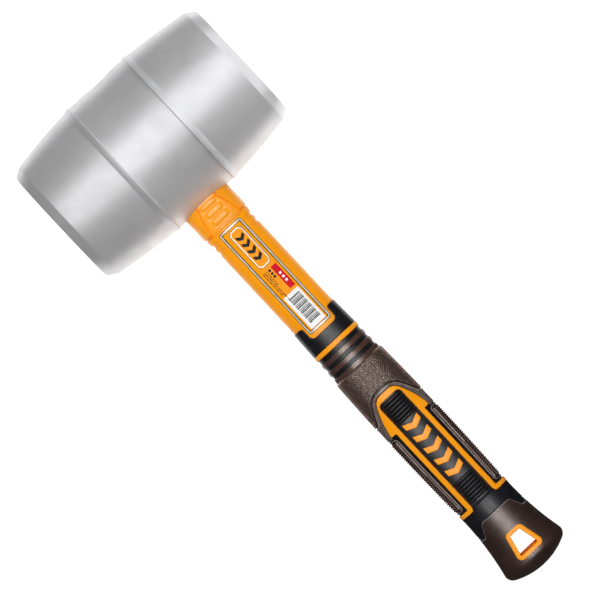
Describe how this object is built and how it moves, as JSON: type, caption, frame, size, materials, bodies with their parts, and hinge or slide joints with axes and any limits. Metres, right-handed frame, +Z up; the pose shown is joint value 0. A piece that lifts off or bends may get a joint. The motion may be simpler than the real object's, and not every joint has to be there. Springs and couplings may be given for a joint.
{
  "type": "rubber mallet",
  "caption": "Barrel-headed rubber mallet with a jacketed fibreglass handle, a soft ribbed grip and a hang hole through a flared butt.",
  "frame": {"origin": "on the ground, in the middle of the mallet's length and width as it lies on its side", "axes": "+X along the handle from the head to the butt, +Y along the head out of one striking face, +Z up, out of the labelled side of the handle; the handle slopes down towards the butt by 5.6 degrees because the head is thicker than the handle"},
  "size_m": [0.3284, 0.123, 0.084],
  "materials": {
    "head_rubber": "pale grey non-marking rubber, satin",
    "adhesive": "cured epoxy",
    "fibreglass": "pultruded glass fibre rod",
    "orange_plastic": "moulded, low gloss",
    "label_film": "printed film with a silver border",
    "black_plastic": "moulded, satin",
    "grip_rubber": "dark brown soft elastomer, part grained"
  },
  "bodies": {
    "root": {"rubber_head": "head_rubber", "eye_plug": "head_rubber", "epoxy_bond": "adhesive", "fibreglass_core": "fibreglass", "neck_guard": "orange_plastic", "shaft_jacket": "orange_plastic", "label_front": "label_film", "shaft_collar": "black_plastic", "ring_band": "orange_plastic", "grip_body": "black_plastic", "grip_sleeve": "grip_rubber", "frame_front": "orange_plastic", "frame_back": "orange_plastic", "panel_front": "black_plastic", "panel_back": "black_plastic", "motif_front": "orange_plastic", "motif_back": "orange_plastic", "side_pad_left": "grip_rubber", "side_pad_right": "grip_rubber", "butt_cap": "grip_rubber", "hole_liner": "orange_plastic"}
  },
  "joints": []
}
